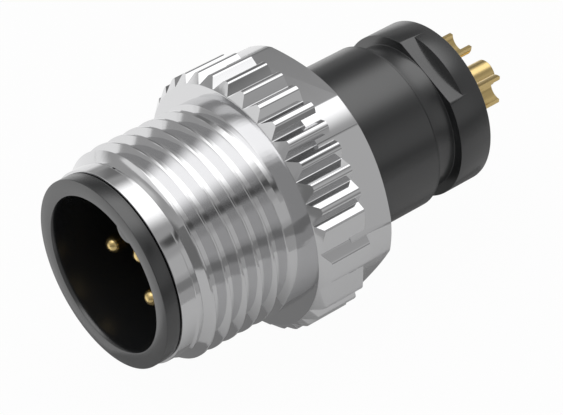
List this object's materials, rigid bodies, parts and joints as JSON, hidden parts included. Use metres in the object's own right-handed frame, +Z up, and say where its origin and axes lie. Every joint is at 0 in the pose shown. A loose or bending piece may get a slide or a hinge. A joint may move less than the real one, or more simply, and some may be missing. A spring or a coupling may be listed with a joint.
{
  "type": "circular cable connector",
  "caption": "Straight circular sensor cable connector: keyed pin socket, knurled hexagonal coupling nut and gold solder cups at the rear.",
  "frame": {"origin": "middle of the bounding box at its bottom, where the knurled ring rests; the connector's axis is parallel to Y, one ring radius up", "axes": "+Y along the axis from the nose with the socket to the solder cups, +Z up, +X to the side of the ring's orientation rib"},
  "size_m": [0.0148, 0.0266, 0.0148],
  "materials": {
    "carrier_plastic": "black moulded plastic with a fine satin surface",
    "nickel_plating": "bright nickel plating on turned brass",
    "gold_plating": "thin bright gold plating on turned brass"
  },
  "bodies": {
    "carrier": {"contact_carrier": "carrier_plastic", "contact_1": "gold_plating", "contact_2": "gold_plating", "contact_3": "gold_plating", "contact_4": "gold_plating", "contact_5": "gold_plating"},
    "nut": {"coupling_nut": "nickel_plating"}
  },
  "joints": [
    {"name": "nut_spin", "type": "hinge", "parent": "carrier", "child": "nut", "pos_m": [0, 0, 0.00738], "axis": [0, 1, 0], "continuous": true}
  ]
}
